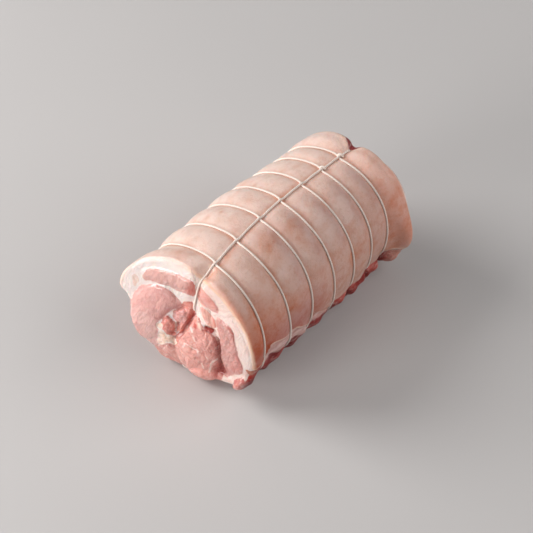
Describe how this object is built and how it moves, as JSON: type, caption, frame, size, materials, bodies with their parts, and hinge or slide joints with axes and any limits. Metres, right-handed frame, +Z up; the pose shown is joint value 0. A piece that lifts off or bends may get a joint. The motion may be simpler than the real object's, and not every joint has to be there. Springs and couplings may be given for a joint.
{
  "type": "rolled pork shoulder joint",
  "caption": "Raw boned and rolled pork joint, rind outwards, tied with loops of butcher's twine and one lengthwise run.",
  "frame": {"origin": "middle of the base, on the surface that the joint rests on", "axes": "+X along the roll, from the cut near end to the far end, +Z up"},
  "size_m": [0.2398, 0.1426, 0.1362],
  "materials": {
    "pork": "moist pale rind over pink meat and white fat",
    "twine": "undyed twisted cotton"
  },
  "bodies": {
    "root": {"rolled_pork": "pork", "twine": "twine"}
  },
  "joints": []
}
